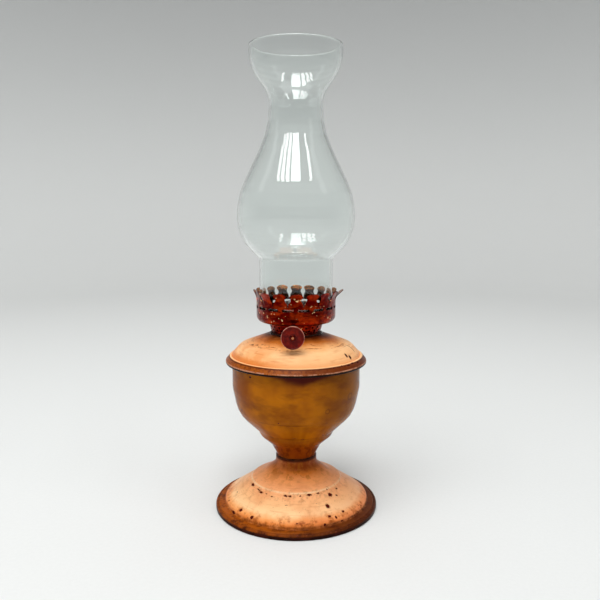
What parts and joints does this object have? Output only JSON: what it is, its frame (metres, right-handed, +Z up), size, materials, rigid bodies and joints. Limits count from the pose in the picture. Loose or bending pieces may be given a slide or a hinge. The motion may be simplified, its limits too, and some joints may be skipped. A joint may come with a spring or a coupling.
{
  "type": "flat-wick kerosene table lamp",
  "caption": "Pedestal kerosene table lamp: painted tin foot and font, flat-wick burner with pronged gallery and side knob, clear glass chimney with bulb and flared mouth.",
  "frame": {"origin": "on the table under the middle of the foot", "axes": "+Z up along the lamp's axis; -Y is the front, where the wick knob is; +X to the right seen from the front"},
  "size_m": [0.0958, 0.0958, 0.2647],
  "materials": {
    "foot_enamel": "old cream enamel with ochre shading and chips",
    "rim_enamel": "dark brown enamel worn at the edge",
    "lid_enamel": "old cream enamel with a brown rim band",
    "bowl_enamel": "glossy golden ochre enamel with a brown stain",
    "tinplate": "dull tinned steel",
    "steel": "plain steel",
    "solder": "dark painted solder",
    "collar_brass": "dark aged brass",
    "burner_brass": "glossy red-brown aged brass",
    "winder_metal": "dark red-brown aged brass",
    "seal_leather": "dark oiled leather",
    "wick_cotton": "woven cotton, charred at the top",
    "chimney_glass": "clear blown glass, faintly green"
  },
  "bodies": {
    "lamp": {"base_shell": "foot_enamel", "base_plate": "rim_enamel", "base_bridge": "tinplate", "stem_stud": "steel", "stem_washer": "steel", "stem_nut": "steel", "neck_solder": "solder", "font_bowl": "bowl_enamel", "font_lid": "lid_enamel", "burner_collar": "collar_brass"},
    "seal": {"collar_washer": "seal_leather"},
    "burner": {"burner_stub": "burner_brass", "burner_cup": "burner_brass", "gallery": "burner_brass", "air_plate": "burner_brass", "flame_dome": "burner_brass", "wick_tube": "burner_brass", "shaft_gland": "burner_brass", "winder_bracket": "burner_brass"},
    "winder": {"winder_shaft": "winder_metal", "winder_knob": "winder_metal", "knob_boss": "winder_metal", "spur_wheels": "winder_metal"},
    "wick": {"wick": "wick_cotton"},
    "chimney": {"chimney": "chimney_glass"}
  },
  "joints": [
    {"name": "burner_lift", "type": "slide", "parent": "lamp", "child": "seal", "axis": [0, 0, 1], "range_m": [0, 0.00481]},
    {"name": "burner_turn", "type": "hinge", "parent": "seal", "child": "burner", "pos_m": [0, 0, 0.104], "axis": [0, 0, 1], "range_deg": [0, 1080]},
    {"name": "knob_turn", "type": "hinge", "parent": "burner", "child": "winder", "pos_m": [-0.0016, 0, 0.10745], "axis": [0, -1, 0], "range_deg": [-270, 90]},
    {"name": "wick_lift", "type": "slide", "parent": "burner", "child": "wick", "axis": [0, 0, 1], "range_m": [-0.012, 0.004]},
    {"name": "chimney_lift", "type": "slide", "parent": "burner", "child": "chimney", "axis": [0, 0, 1], "range_m": [0, 0.04]}
  ],
  "couplings": [
    {"joint": "burner_lift", "follows": "burner_turn", "m_per_rad": 0.00025465},
    {"joint": "wick_lift", "follows": "knob_turn", "m_per_rad": 0.0025}
  ]
}
